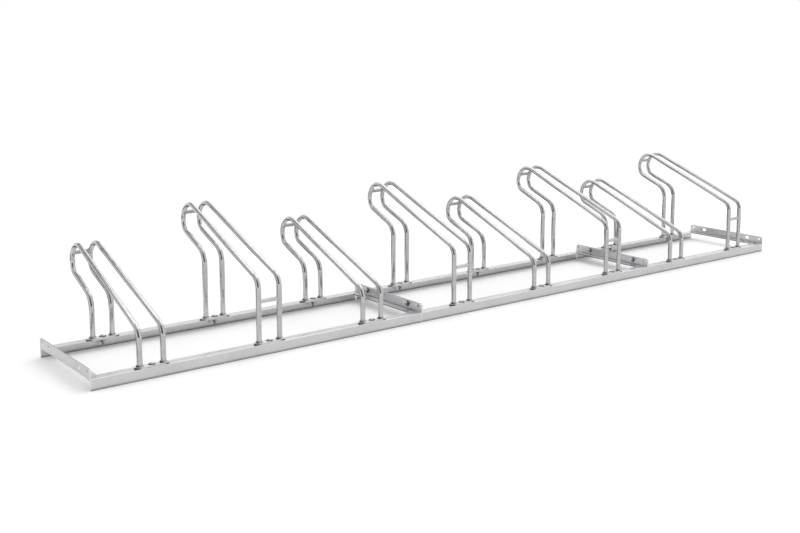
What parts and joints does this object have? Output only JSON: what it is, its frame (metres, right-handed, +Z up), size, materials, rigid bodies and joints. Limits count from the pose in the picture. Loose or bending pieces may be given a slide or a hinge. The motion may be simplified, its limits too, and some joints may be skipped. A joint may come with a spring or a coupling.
{
  "type": "floor bike rack",
  "caption": "Low galvanised steel floor rack: paired bent-bar hoops on an angle-steel ground frame hold the front wheels of bicycles, alternately low and high.",
  "frame": {"origin": "on the floor, at the middle of the overall length and of the overall depth", "axes": "+X along the rails to the right end, +Y to the rear where the heads overhang, +Z up"},
  "size_m": [2.8, 0.4745, 0.3717],
  "materials": {
    "galvanised_angle": "hot-dip galvanised, light grey with soft mottling and a low gloss",
    "galvanised_bar": "galvanised round bar, glossy light grey with long streaked reflections",
    "galvanised_plate": "galvanised flat bar, slightly darker beside the welds",
    "zinc_fasteners": "zinc plated steel, semi-gloss"
  },
  "bodies": {
    "root": {"front_rail_1": "galvanised_angle", "rear_rail_1": "galvanised_angle", "left_end_angle_1": "galvanised_angle", "right_end_angle_1": "galvanised_angle", "front_rail_2": "galvanised_angle", "rear_rail_2": "galvanised_angle", "left_end_angle_2": "galvanised_angle", "right_end_angle_2": "galvanised_angle", "front_rail_3": "galvanised_angle", "rear_rail_3": "galvanised_angle", "left_end_angle_3": "galvanised_angle", "right_end_angle_3": "galvanised_angle", "left_hoop_1": "galvanised_bar", "right_hoop_1": "galvanised_bar", "top_bar_1": "galvanised_bar", "front_plate_1": "galvanised_plate", "rear_plate_1": "galvanised_plate", "left_hoop_2": "galvanised_bar", "right_hoop_2": "galvanised_bar", "top_bar_2": "galvanised_bar", "front_plate_2": "galvanised_plate", "rear_plate_2": "galvanised_plate", "left_hoop_3": "galvanised_bar", "right_hoop_3": "galvanised_bar", "top_bar_3": "galvanised_bar", "front_plate_3": "galvanised_plate", "rear_plate_3": "galvanised_plate", "left_hoop_4": "galvanised_bar", "right_hoop_4": "galvanised_bar", "top_bar_4": "galvanised_bar", "front_plate_4": "galvanised_plate", "rear_plate_4": "galvanised_plate", "left_hoop_5": "galvanised_bar", "right_hoop_5": "galvanised_bar", "top_bar_5": "galvanised_bar", "front_plate_5": "galvanised_plate", "rear_plate_5": "galvanised_plate", "left_hoop_6": "galvanised_bar", "right_hoop_6": "galvanised_bar", "top_bar_6": "galvanised_bar", "front_plate_6": "galvanised_plate", "rear_plate_6": "galvanised_plate", "left_hoop_7": "galvanised_bar", "right_hoop_7": "galvanised_bar", "top_bar_7": "galvanised_bar", "front_plate_7": "galvanised_plate", "rear_plate_7": "galvanised_plate", "left_hoop_8": "galvanised_bar", "right_hoop_8": "galvanised_bar", "top_bar_8": "galvanised_bar", "front_plate_8": "galvanised_plate", "rear_plate_8": "galvanised_plate", "front_bar_2": "galvanised_bar", "front_bar_4": "galvanised_bar", "front_bar_6": "galvanised_bar", "front_bar_8": "galvanised_bar", "carriage_bolts": "zinc_fasteners", "rail_nuts": "zinc_fasteners", "joining_bolts": "zinc_fasteners", "joining_nuts": "zinc_fasteners"}
  },
  "joints": []
}
